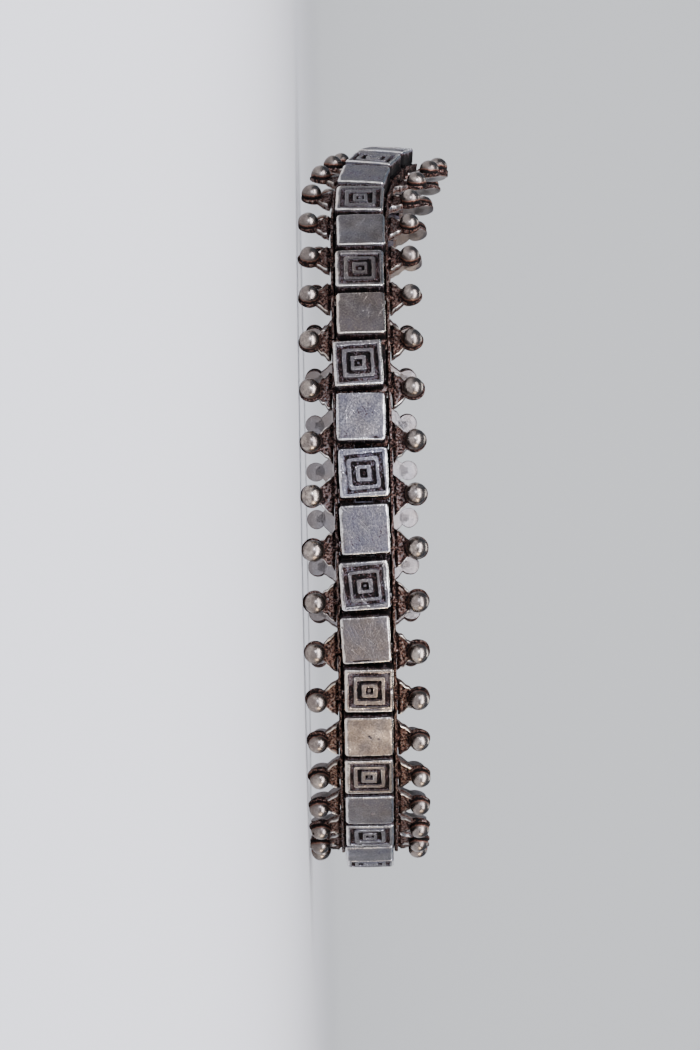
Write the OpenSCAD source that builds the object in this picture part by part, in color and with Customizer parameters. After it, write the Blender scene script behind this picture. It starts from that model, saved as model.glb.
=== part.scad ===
// Link bracelet of oxidised silver, lying on its side.
// Square boxes stand on thin-walled trays, and every second box is cut with nested squares.
// At each hinge a leaf-shaped ear with a ball stands out from both edges of the band.
// The loop's axis is +Z, the middle of its front faces -Y, and the ears rest on Z = 0.

/* [Loop] */
// Links in the closed loop, an even number so that plain and engraved links take turns
links = 42; // [38:2:46]
// Distance between neighbouring hinge pins
pitch = 4.55; // [4.5:0.05:4.8]
// Middle of the front, counted in links from the twisted end
front_link = 8.71; // [8:0.01:10]

/* [Twisted stretch] */
// Height that the twisted stretch reaches above the rest of the band
twist_rise = 2.9; // [0:0.1:3]
// Hinge at which it stands highest, counted from the first link that shows
twist_peak = -1.2; // [-2:0.1:0]
// Hinges over which it rises on the side that shows
twist_front = 2.1; // [2:0.1:4]
// Hinges over which it comes down on the hidden side
twist_back = 4; // [4:0.5:6]
// Sideways lean of a link at the highest place, in degrees
twist_lean = 4; // [0:1:5]

/* [Box] */
// Side of the square box
box_side = 4.18; // [4.1:0.02:4.24]
// Height of the box's face above the hinge pins
face_height = 2.1; // [1.9:0.05:2.4]
// Distance that a box sits past the middle of its tray, towards the next link
box_shift = 0.54; // [0.5:0.01:0.58]
// Cut at the box's upright corners
box_corner = 0.1; // [0.05:0.01:0.2]
// Height of the underside of the box's overhang above the hinge pins
overhang_height = 0.8; // [0.78:0.01:1]

/* [Nested squares] */
// Width of the border outside the first groove
border = 0.36; // [0.3:0.01:0.4]
// Width of a groove
groove_w = 0.37; // [0.3:0.01:0.38]
// Width of a raised square between two grooves
ring_w = 0.33; // [0.28:0.01:0.34]
// Side of the small raised square in the middle
boss_side = 0.24; // [0.16:0.02:0.3]
// Depth of the grooves
groove_depth = 0.28; // [0.15:0.01:0.4]

/* [Tray] */
// Width over the two rails
tray_w = 5; // [4.9:0.05:5.1]
// Thickness of a rail
rail_t = 0.25; // [0.2:0.01:0.3]
// Height of the rails above the hinge pins
rail_height = 0.7; // [0.6:0.02:0.76]
// Depth of the tray's underside below the hinge pins
underside = 0.55; // [0.5:0.01:0.65]
// Thickness of the tray's floor beside the box
floor_t = 0.4; // [0.3:0.02:0.5]

/* [Hinge] */
// Radius of a hinge pin
pin_r = 0.24; // [0.2:0.01:0.25]
// Radius of the knuckles round it
knuckle_r = 0.54; // [0.5:0.01:0.56]
// Width of an outer knuckle
knuckle_w = 1.4; // [1.2:0.05:1.4]
// Distance of an outer knuckle's middle from the middle of the band
knuckle_side = 1.45; // [1.4:0.01:1.46]
// Play round the pins and between knuckles
pin_play = 0.09; // [0.07:0.01:0.1]
// Radius of the pin that closes the clasp
clasp_pin_r = 0.15; // [0.12:0.01:0.16]

/* [Ears and balls] */
// Radius of a ball
ball_r = 0.95; // [0.85:0.01:1]
// Distance of a ball's centre from the middle of the band
ball_side = 4.42; // [4.3:0.02:4.6]
// Height of a ball's centre above the hinge pins
ball_height = 0.58; // [0.5:0.02:0.7]
// Radius of the round seat under a ball
seat_r = 1; // [0.96:0.01:1.05]
// Half of an ear's length along the rail
ear_half = 1.83; // [1.7:0.01:1.9]
// Half of its width where it meets the seat
neck_half = 0.92; // [0.8:0.01:0.94]
// Outward bow of its flanks
flank_bow = 0.04; // [0.03:0.01:0.08]
// Height of an ear's face above the hinge pins
ear_top = 0.28; // [0.26:0.01:0.34]
// Thickness of an ear beside the rail
ear_t = 0.66; // [0.62:0.01:0.7]
// Thickness of its seat, where the ear is thinnest
tip_t = 0.4; // [0.34:0.02:0.5]
// Width of the raised rim along its flanks
rim_w = 0.17; // [0.12:0.01:0.2]
// Depth of the sunk field inside the rims
field_depth = 0.12; // [0.06:0.01:0.14]

/* [Hidden] */
$fn = 48;
turn = 360 / links;
hinge_circle_r = pitch / (2 * sin(turn / 2));
rest_height = ball_side + seat_r;
clasp_link = links - 2;

// Slip of the circle that puts the middle of the whole bracelet on the loop's axis
centre_slip = 0.07;

// Gaps between neighbouring links: between rail ends, beside an ear, and before and past a knuckle
rail_slot = 0.24;
ear_gap = 0.12;
knuckle_gap = 0.14;

// Small overlap by which soldered parts run into each other, and the deeper one of a pin in its ears
bite = 0.06;
pin_bite = 0.1;
beyond = 10;

floor_start = knuckle_r + knuckle_gap;
floor_end = pitch - knuckle_r - knuckle_gap;
groove_beside_box = 0.17;
foot_w = tray_w - 2 * rail_t - 2 * groove_beside_box;
web_height = 0.32;
web_depth = 0.5;
middle_half = knuckle_side - knuckle_w / 2 - pin_play;
pin_half = tray_w / 2 + ear_gap + pin_bite;

// The flank of an ear is an arc through the rail end and the neck, round a centre inside the ear
neck_to_ball = 0.85;
neck_side = ball_side - neck_to_ball;
flank_run = [neck_half - ear_half, neck_side - tray_w / 2];
flank_chord = norm(flank_run);
flank_r = flank_chord * flank_chord / (8 * flank_bow) + flank_bow / 2;
flank_normal = [flank_run[1], -flank_run[0]] / flank_chord;
flank_middle = [ear_half, tray_w / 2] + flank_run / 2;
flank_centre = flank_middle - flank_normal * (flank_r - flank_bow);
field_past_pin = 0.1;
field_start = pin_half + field_past_pin;
ear_slope = atan2(ear_t - tip_t, ball_side - field_start);

// Boxes that were soldered a little off: link, slip across the band, turn in degrees
LINK = 0;
SLIP = 1;
SKEW = 2;
BOX_PLACES = [
    [3, 0.15, 0.5],
    [5, 0.04, 0.5],
    [6, -0.28, 2],
    [7, -0.14, -0.4],
    [8, 0, 1.6],
    [9, 0.02, 2.4],
    [10, -0.08, 2.9],
    [11, -0.07, 2.6],
    [12, 0.12, -0.4],
    [13, 0.05, 0],
    [17, -0.08, 0],
];

function two_digits(n) = n < 10 ? str("0", n) : str(n);
function is_engraved(i) = i % 2 == 0;
function link_name(i) = str(is_engraved(i) ? "engraved_link_" : "plain_link_", two_digits(i + 1));

// Hinges counted from the twist's peak, the short way round the loop
function from_peak(j) = let (d = j - twist_peak) d - links * round(d / links);
function twist(j) = let (d = from_peak(j)) exp(-pow(d / (d > 0 ? twist_front : twist_back), 2));

// Hinge j lies on a circle, and the twisted stretch lifts it out of the loop's plane
function hinge_point(j) =
    let (a = (j - front_link - 0.5) * turn - 90)
    [hinge_circle_r * cos(a) + centre_slip, hinge_circle_r * sin(a),
     rest_height + twist_rise * twist(j)];
function heading(i) = (i - front_link) * turn;
function sway(i) = atan2(twist_rise * (twist(i + 1) - twist(i)), pitch);
function lean(i) = -twist_lean * twist(i + 0.5);
function box_place(i, column) =
    let (rows = [for (row = BOX_PLACES) if (row[LINK] == i) row])
    len(rows) > 0 ? rows[0][column] : 0;

// A link's own frame: x along the band, y across it, z outwards from the wrist
module turned(heading_angle, sway_angle, lean_angle) {
    rotate([0, 0, heading_angle]) rotate([90, 0, 0])
        rotate([0, 0, sway_angle]) rotate([lean_angle, 0, 0]) children();
}

module at_link(i) {
    translate((hinge_point(i) + hinge_point(i + 1)) / 2)
        turned(heading(i), sway(i), lean(i)) children();
}

module at_hinge(j) {
    translate(hinge_point(j))
        turned((heading(j - 1) + heading(j)) / 2, (sway(j - 1) + sway(j)) / 2,
               (lean(j - 1) + lean(j)) / 2) children();
}

module across(r, from, to) {
    translate([0, to, 0]) rotate([90, 0, 0]) cylinder(r = r, h = to - from);
}

// The box and its nested squares
module box_outline() {
    half = box_side / 2;
    cut = half - box_corner;
    polygon([[cut, -half], [half, -cut], [half, cut], [cut, half],
             [-cut, half], [-half, cut], [-half, -cut], [-cut, -half]]);
}

module nested_squares() {
    for (k = [0:2]) {
        outer = box_side - 2 * border - 2 * k * (groove_w + ring_w);
        inner = k == 2 ? boss_side : outer - 2 * groove_w;
        translate([0, 0, face_height - groove_depth]) linear_extrude(beyond) difference() {
            square(outer, center = true);
            square(inner, center = true);
        }
    }
}

module box(i) {
    translate([box_shift, box_place(i, SLIP), 0]) rotate([0, 0, box_place(i, SKEW)])
        difference() {
            translate([0, 0, overhang_height]) linear_extrude(face_height - overhang_height)
                box_outline();
            if (is_engraved(i)) nested_squares();
        }
}

// The tray: a floor, the foot that carries the box, and two rails
module tray() {
    translate([floor_start - pitch / 2, -tray_w / 2 + bite, -underside])
        cube([floor_end - floor_start, tray_w - 2 * bite, floor_t]);
    translate([floor_start - pitch / 2, -foot_w / 2, -underside])
        cube([floor_end - floor_start, foot_w, underside + overhang_height + bite]);
    for (side = [-1, 1])
        translate([-pitch / 2, side * (tray_w - rail_t) / 2 - rail_t / 2, -underside])
            cube([pitch, rail_t, underside + rail_height]);
}

// Everything before the upper hinge and past the lower one, with half a slot from each
module past_the_hinges(i) {
    for (end = [0, 1]) at_hinge(i + end)
        translate([end == 0 ? -beyond : -rail_slot / 2, -beyond, -beyond])
            cube([beyond + rail_slot / 2, 2 * beyond, 2 * beyond]);
}

// The outer knuckles go round the pin of the link before, so they follow its line
module outer_knuckles(i) {
    for (side = [-1, 1]) {
        at_link(i - 1) translate([pitch / 2, 0, 0])
            across(knuckle_r, side * knuckle_side - knuckle_w / 2, side * knuckle_side + knuckle_w / 2);
        at_link(i) translate([-pitch / 2, side * knuckle_side - knuckle_w / 2 + bite, -web_depth])
            cube([floor_start + bite, knuckle_w - 2 * bite, web_depth + web_height]);
    }
}

// The middle knuckle is soldered to the link's own pin
module middle_knuckle(i) {
    at_link(i) {
        translate([pitch / 2, 0, 0]) across(knuckle_r, -middle_half, middle_half);
        translate([floor_end - pitch / 2 - bite, bite - middle_half, -web_depth])
            cube([pitch - floor_end + bite, 2 * (middle_half - bite), web_depth + web_height]);
    }
}

module pin_bore(i) {
    r = i == clasp_link ? clasp_pin_r : pin_r;
    at_link(i) translate([pitch / 2, 0, 0])
        across(r + pin_play, -pin_half - pin_play, i == clasp_link ? beyond : pin_half + pin_play);
}

// Ears, seats and balls on both sides of the lower hinge
module flank_circle(side, inset) {
    translate([side * flank_centre[0], flank_centre[1]]) circle(r = flank_r - inset);
}

module ear_outline(inset) {
    intersection() {
        translate([-ear_half, tray_w / 2 - bite]) square([2 * ear_half, ball_side - tray_w / 2 + bite]);
        flank_circle(-1, inset);
        flank_circle(1, inset);
    }
}

module leaf_and_seat() {
    translate([0, 0, ear_top - ear_t]) difference() {
        union() {
            linear_extrude(ear_t) ear_outline(0);
            translate([0, ball_side, 0]) cylinder(r = seat_r, h = ear_t);
        }
        translate([0, 0, ear_t - field_depth]) linear_extrude(beyond) difference() {
            ear_outline(rim_w);
            translate([-beyond / 2, 0]) square([beyond, field_start]);
            translate([0, ball_side]) circle(r = seat_r + rim_w / 2);
        }
    }
}

// The clasp's ears stay thick all along, for the bore that runs through them
module ear(i) {
    difference() {
        union() {
            leaf_and_seat();
            translate([0, ball_side, ball_height]) sphere(r = ball_r);
        }
        if (i != clasp_link) translate([-beyond / 2, field_start, ear_top - ear_t])
            rotate([ear_slope, 0, 0]) translate([0, 0, -beyond]) cube(beyond);
    }
}

// Room that the next link's tray needs between the ears
module tray_room() {
    translate([-(pitch + rail_slot) / 2, -tray_w / 2 - ear_gap, -beyond / 2])
        cube([pitch, tray_w + 2 * ear_gap, beyond]);
}

module ears(i) {
    difference() {
        at_link(i) translate([pitch / 2, 0, 0]) {
            ear(i);
            mirror([0, 1, 0]) ear(i);
        }
        at_link(i + 1) tray_room();
        if (i == clasp_link) pin_bore(i);
    }
}

module hinge_pin(i) {
    at_link(i) translate([pitch / 2, 0, 0]) across(pin_r, -pin_half, pin_half);
}

module bracelet_link(i) {
    difference() {
        union() {
            difference() {
                at_link(i) tray();
                past_the_hinges(i);
            }
            outer_knuckles(i);
            middle_knuckle(i);
        }
        pin_bore(i - 1);
        if (i == clasp_link) pin_bore(i);
    }
    at_link(i) box(i);
    ears(i);
    if (i != clasp_link) hinge_pin(i);
}

module clasp_pin() {
    color("dimgray") at_link(clasp_link) translate([pitch / 2, 0, 0])
        across(clasp_pin_r, -pin_half, rest_height - bite);
}

for (i = [0:links - 1])
    color(is_engraved(i) ? "darkgray" : "silver") bracelet_link(i);
clasp_pin();
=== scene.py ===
"""Dresses a silver link bracelet: worn boxes, engraved squares, cast ears, hand-made balls and a studio."""

import math
from functools import partial

import bmesh
import bpy
import numpy as np
from mathutils import Matrix, Vector


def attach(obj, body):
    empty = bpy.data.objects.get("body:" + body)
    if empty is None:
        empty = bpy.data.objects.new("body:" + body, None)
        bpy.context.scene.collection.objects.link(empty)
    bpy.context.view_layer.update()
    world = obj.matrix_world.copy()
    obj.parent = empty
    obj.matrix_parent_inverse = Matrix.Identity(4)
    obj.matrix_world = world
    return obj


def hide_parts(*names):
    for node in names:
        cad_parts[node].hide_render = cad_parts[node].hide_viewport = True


bl_info = {
    "name": "Silver link bracelet",
    "version": (1, 0, 0),
    "blender": (4, 5, 0),
    "location": "View3D > Sidebar > Bracelet",
    "description": "Makes the worn silver links of a bracelet and the studio round it",
    "category": "Add Mesh",
}

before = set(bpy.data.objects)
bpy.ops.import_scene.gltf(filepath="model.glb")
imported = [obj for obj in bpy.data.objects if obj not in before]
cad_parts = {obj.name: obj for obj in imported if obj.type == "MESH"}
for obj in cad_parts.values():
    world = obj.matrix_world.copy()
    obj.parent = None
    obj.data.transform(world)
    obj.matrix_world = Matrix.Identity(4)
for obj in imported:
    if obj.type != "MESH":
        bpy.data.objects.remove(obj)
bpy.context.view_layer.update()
MM = 0.001

# The loop, in millimetres: its links, the distance between hinges, and the link that faces the camera
LINKS = 42
PITCH = 4.55
FRONT_LINK = 8.71
CLASP_LINK = LINKS - 2
TURN = 2 * math.pi / LINKS
HINGE_CIRCLE_R = PITCH / (2 * math.sin(TURN / 2))
CENTRE_SLIP = 0.07

# The stretch that rises: its height, the hinge at its top, its reach to either side in links, and its lean
TWIST_RISE = 2.9
TWIST_PEAK = -1.2
TWIST_FRONT = 2.1
TWIST_BACK = 4.0
TWIST_LEAN = math.radians(4)

# A box: its side, how high its face and its underside lie above the hinge pins, and its slip along the band
BOX_SIDE = 4.18
FACE_HEIGHT = 2.1
OVERHANG_HEIGHT = 0.8
BOX_SHIFT = 0.54

# The nested squares, from the edge of the face inwards
BORDER = 0.36
GROOVE_W = 0.37
RING_W = 0.33
BOSS_SIDE = 0.24

# Relief of a face: how far it lies below its full height, its crown, the sink of the boss, and a dent
FACE_DROP = 0.012
CROWN = 0.03
BOSS_DROP = 0.11
DENT_DEPTH = 0.1

# Gaps and play between neighbouring links
RAIL_SLOT = 0.24
EAR_GAP = 0.12
KNUCKLE_GAP = 0.14
PIN_PLAY = 0.09

# Overlap of parts that are soldered together, the deeper one of a pin, and solder that runs past an edge
BITE = 0.06
PIN_BITE = 0.1
SOLDER = 0.06

# The tray and the foot of the box inside it
TRAY_W = 5.0
RAIL_T = 0.25
RAIL_HEIGHT = 0.7
UNDERSIDE = 0.55
FLOOR_T = 0.4
GROOVE_BESIDE_BOX = 0.17
FOOT_W = TRAY_W - 2 * RAIL_T - 2 * GROOVE_BESIDE_BOX

# The hinge: its pin, the knuckles round it, and the webs that carry them
PIN_R = 0.24
PIN_HALF = TRAY_W / 2 + EAR_GAP + PIN_BITE
CLASP_PIN_R = 0.15
KNUCKLE_R = 0.54
KNUCKLE_W = 1.4
KNUCKLE_SIDE = 1.45
MIDDLE_HALF = KNUCKLE_SIDE - KNUCKLE_W / 2 - PIN_PLAY
WEB_HEIGHT = 0.32
WEB_DEPTH = 0.5
FLOOR_START = KNUCKLE_R + KNUCKLE_GAP
FLOOR_END = PITCH - FLOOR_START

# Balls, their seats and the ears
BALL_R = 0.95
BALL_SIDE = 4.42
BALL_HEIGHT = 0.58
SEAT_R = 1.0
REST_HEIGHT = BALL_SIDE + SEAT_R
EAR_HALF = 1.83
NECK_HALF = 0.92
NECK_TO_BALL = 0.85
NECK_SIDE = BALL_SIDE - NECK_TO_BALL
FLANK_BOW = 0.04
EAR_TOP = 0.28
EAR_T = 0.66
TIP_T = 0.4
RIM_W = 0.17
FIELD_DEPTH = 0.12
FIELD_PAST_PIN = 0.1
FIELD_START = PIN_HALF + FIELD_PAST_PIN

# Balls away from the front are smaller than the solids' by this share, which grows over so many links
BALL_SHRINK = 0.08
SHRINK_REACH = 3.5

# Extra brightness of the lumps on a knuckle, for each unit of the knuckle's own wear: rubbed high points
# with painted highlight
LUMP_WEAR_AND_HIGHLIGHT = 0.25 / 0.12

# Boxes that were soldered a little off, by link: slip across the band in millimetres, turn in degrees
BOX_PLACES = {
    3: (0.15, 0.5), 5: (0.04, 0.5), 6: (-0.28, 2), 7: (-0.14, -0.4), 8: (0, 1.6), 9: (0.02, 2.4),
    10: (-0.08, 2.9), 11: (-0.07, 2.6), 12: (0.12, -0.4), 13: (0.05, 0), 17: (-0.08, 0),
}

# Looks of the faces that show, by link: wear added, partly tarnish and partly painted light and shade;
# tint of painted cool and warm light, from -1 to 1; and how freshly scratched, which also sets the painted
# glints
FACE_LOOKS = {
    0: (-0.16, 0.0, 0.4), 1: (-0.24, 0.0, 0.5), 2: (-0.02, 0.2, 0.4), 3: (0.0, 0.2, 0.35),
    4: (-0.02, 0.5, 0.5), 5: (-0.09, 0.9, 0.6), 6: (-0.05, 0.1, 0.6), 7: (-0.18, -0.2, 0.9),
    8: (-0.14, -0.3, 0.9), 9: (-0.23, -0.1, 0.8), 10: (-0.03, 0.1, 0.7), 11: (-0.12, 0.6, 0.5),
    12: (0.06, 0.9, 0.6), 13: (-0.02, 1.0, 0.5), 14: (0.06, 0.8, 0.5), 15: (-0.08, 0.0, 0.5),
    16: (0.02, 0.0, 0.4), 17: (-0.14, -0.4, 0.4), 18: (-0.12, -0.4, 0.4), 40: (-0.1, 0.0, 0.4),
    41: (-0.25, 0.0, 0.4),
}
HIDDEN_LOOK = (-0.05, -0.3, 0.5)

# Dents and cracks in the faces, by link, in millimetres: place along the band and across it, then half
# length along the band and across it
DENTS = {
    3: ((-1.1, 0.97, 0.11, 0.11),),
    7: ((1.87, 1.2, 0.08, 0.6),),
    11: ((1.86, -0.5, 0.1, 1.4), (-1.3, -1.95, 0.12, 0.08)),
    12: ((1.75, 0.3, 0.1, 0.9), (-0.15, 1.95, 0.08, 0.2), (-0.15, -1.0, 0.08, 0.16)),
    13: ((-0.1, 0.02, 0.12, 0.1), (0.08, 0.14, 0.12, 0.1), (0.2, 0.82, 0.1, 0.1)),
    15: ((0.36, 0.15, 0.14, 0.12), (0.22, 0.28, 0.1, 0.1), (-1.0, -0.56, 0.1, 0.1)),
    17: ((-0.6, 0.9, 0.1, 0.1),),
}

# Sides of a box, in the order in which its outline is walked, and the brightness of the edge at each:
# rubbed wear, set higher on some sides as painted highlight
LOWER, RIGHT, UPPER, LEFT = 0, 1, 2, 3
EDGE_WEAR_AND_HIGHLIGHT = (0.95, 0.9, 0.76, 1.0)

# Outer grooves that are partly worn away, by link: side, and share of the depth that is gone
WORN_GROOVES = {
    4: ((UPPER, 0.35),),
    6: ((UPPER, 0.25),),
    8: ((LEFT, 0.8), (LOWER, 0.45), (UPPER, 0.3)),
    10: ((LOWER, 0.5), (RIGHT, 0.45)),
    12: ((LOWER, 0.3),),
    14: ((LEFT, 0.4),),
}

# Finishes of a link, in the order of its material slots
FACE, CAST, BALL = 0, 1, 2

# Families of scratches: angle to the band, length for their width, lines in a millimetre, wear gained.
# Real ones are too fine for the picture, so these are drawn coarser
SCRATCHES = ((0.8, 16, 8.0, 0.5), (-0.55, 12, 8.0, 0.5), (0.06, 12, 9.0, 0.45), (0.4, 14, 7.0, -0.25))


# Where the links lie

def turned_about(axis, angle):
    """Matrix that turns by an angle about x, y or z, given as 0, 1 or 2."""
    a, b = (axis + 1) % 3, (axis + 2) % 3
    turn = np.eye(3)
    turn[a, a] = turn[b, b] = math.cos(angle)
    turn[a, b], turn[b, a] = -math.sin(angle), math.sin(angle)
    return turn


def twist(j):
    """Share of the twist's rise at hinge j: a bell curve that is steeper on the side that shows."""
    d = j - TWIST_PEAK
    d -= LINKS * round(d / LINKS)
    return math.exp(-(d / (TWIST_FRONT if d > 0 else TWIST_BACK)) ** 2)


def hinge_point(j):
    """Hinge j on the circle, lifted by the twist."""
    a = (j - FRONT_LINK - 0.5) * TURN - math.pi / 2
    return np.array([HINGE_CIRCLE_R * math.cos(a) + CENTRE_SLIP, HINGE_CIRCLE_R * math.sin(a),
                     REST_HEIGHT + TWIST_RISE * twist(j)])


def link_angles(i):
    """Heading, sway and lean of link i, in radians."""
    return np.array([(i - FRONT_LINK) * TURN,
                     math.atan2(TWIST_RISE * (twist(i + 1) - twist(i)), PITCH),
                     -TWIST_LEAN * twist(i + 0.5)])


def axes_of(angles):
    """Axes of a link as columns: along the band, across it, and outwards."""
    heading, sway, lean = angles
    return (turned_about(2, heading) @ turned_about(0, math.pi / 2)
            @ turned_about(2, sway) @ turned_about(0, lean))


class Place:
    """A link's own frame, with x along the band, y across it and z outwards."""

    def __init__(self, i):
        self.axes = axes_of(link_angles(i))
        self.origin = (hinge_point(i) + hinge_point(i + 1)) / 2
        self.ends = []
        for end, side in ((0, 1), (1, -1)):
            across = self.axes.T @ axes_of((link_angles(i + end - 1) + link_angles(i + end)) / 2)[:, 0]
            hinge = self.axes.T @ (hinge_point(i + end) - self.origin)
            self.ends.append((across, hinge, side * RAIL_SLOT / 2))

    def to_world(self, points):
        """Points of the link's frame in the bracelet's frame, still in millimetres."""
        return points @ self.axes.T + self.origin

    def cut(self, end, y, z):
        """x at which the tray ends beside hinge 0 or 1: on a plane that faces halfway between two links."""
        normal, hinge, slot = self.ends[end]
        return hinge[0] + (slot - normal[1] * (y - hinge[1]) - normal[2] * (z - hinge[2])) / normal[0]


# Small shapes and noise

def smooth(x, low, high):
    """Rises from 0 at low to 1 at high along a cubic S."""
    t = np.clip((x - low) / (high - low), 0, 1)
    return t * t * (3 - 2 * t)


def ripple(points, wavelength, seed, waves=18):
    """Smooth noise of about unit height: the sum of sine waves of like length in random directions."""
    rng = np.random.default_rng(seed)
    heading = rng.normal(size=(points.shape[-1], waves))
    heading *= 2 * math.pi / wavelength * rng.uniform(0.7, 1.4, waves) / np.linalg.norm(heading, axis=0)
    return np.sin(points @ heading + rng.uniform(0, 2 * math.pi, waves)).sum(axis=-1) * math.sqrt(2 / waves)


def square_walk(per_side, crowding=0.6):
    """Points of a square of half side 1, walked from the lower left corner, and crowded near its corners."""
    t = (np.arange(4 * per_side) + 0.5) / per_side
    side = np.floor(t).astype(int)
    f = t - side
    run = 2 * (f - crowding / (2 * math.pi) * np.sin(2 * math.pi * f)) - 1
    one = np.ones_like(run)
    return np.choose(side, [one, -run, -one, run]), np.choose(side, [run, one, -run, -one]), side


def rounded(x, y, half_x, half_y, corner):
    """A square walk made a rectangle, whose corners are drawn in to arcs round the corners of its core."""
    x, y = x * half_x, y * half_y
    core_x = np.clip(x, corner - half_x, half_x - corner)
    core_y = np.clip(y, corner - half_y, half_y - corner)
    pull = corner / np.maximum(np.hypot(x - core_x, y - core_y), 1e-9)
    return core_x + (x - core_x) * pull, core_y + (y - core_y) * pull


# A stack is a row of closed loops, the wear at each of their points, and the finish

def box_loops(i, form, rng):
    """The nine named loops of a box, and the side on which each of their points lies.

    They run from the middle of the face, over both edges of each groove, to the start and the end of the
    rounded edge. Each is a rounded square, and those of the grooves are each a little off in size, place and
    turn. All of them waver by noise.
    """
    # Usual errors of one loop, and those that all loops of the grooves share
    size_error, place_error, turn_error = 0.022, 0.012, math.radians(0.9)
    shared_place_error, shared_turn_error = 0.03, math.radians(1.3)
    walk_x, walk_y, side = square_walk(24)
    half = BOX_SIDE / 2
    step = GROOVE_W + RING_W
    grooves = [half - BORDER - k * step - n * GROOVE_W for k in (2, 1, 0) for n in (1, 0)]
    grooves[0] = BOSS_SIDE / 2
    halves = [0.0] + grooves + [half - form.edge_round / MM, half]
    corners = [0, 0.05, 0.08, 0.13, 0.17, 0.21, 0.13, 0.18, 0.24]
    shared_shift = rng.normal(0, shared_place_error, 2)
    shared_turn = rng.normal(0, shared_turn_error)
    loops = []
    for k, (h, corner) in enumerate(zip(halves, corners)):
        free = 1.0 if 0 < k < 7 else 0.0
        hx, hy = (h + free * rng.normal(0, size_error, 2)).clip(0.001)
        corner = corner * rng.uniform(0.7, 1.5)
        x, y = rounded(walk_x, walk_y, hx, hy, min(corner, 0.8 * min(hx, hy)))
        turn = free * (shared_turn + rng.normal(0, turn_error))
        loop = np.stack([x * math.cos(turn) - y * math.sin(turn), x * math.sin(turn) + y * math.cos(turn)],
                        axis=-1)
        shift = free * (shared_shift + rng.normal(0, place_error, 2))
        waver = form.engraving_wobble / MM * (1 if free else 0.4) * ripple(loop + 7 * k, 1.1, 10 * i + k)
        loops.append(loop * (1 + waver / max(h, 0.1))[:, None] + shift)
    return np.array(loops), side


def groove_cut(i, p, side, flat):
    """Depth of the grooves as a share: full between loops 1 and 2, 3 and 4, and 5 and 6, with sloping walls.

    A worn groove is narrower, and shallower where noise is low.
    """
    gone = np.zeros(len(side))
    for worn_side, lost in WORN_GROOVES.get(i, ()):
        gone = np.where(side == worn_side, lost, gone)
    grooves = [(1, 2, 0 * gone), (3, 4, 0 * gone), (5, 6 - 0.75 * gone, gone)]
    breaks = (1 + 0.5 * ripple(flat, 0.7, 300 + i)).clip(0.2, 1.2)
    cut = sum(smooth(p, start - 0.12, start + 0.1) * (1 - smooth(p, end - 0.1, end + 0.12))
              * (1 - 0.7 * lost * (1.4 - breaks)) for start, end, lost in grooves)
    return (cut * (0.95 + 0.07 * ripple(flat, 0.8, 300 + i))).clip(0, 1.15)


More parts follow.
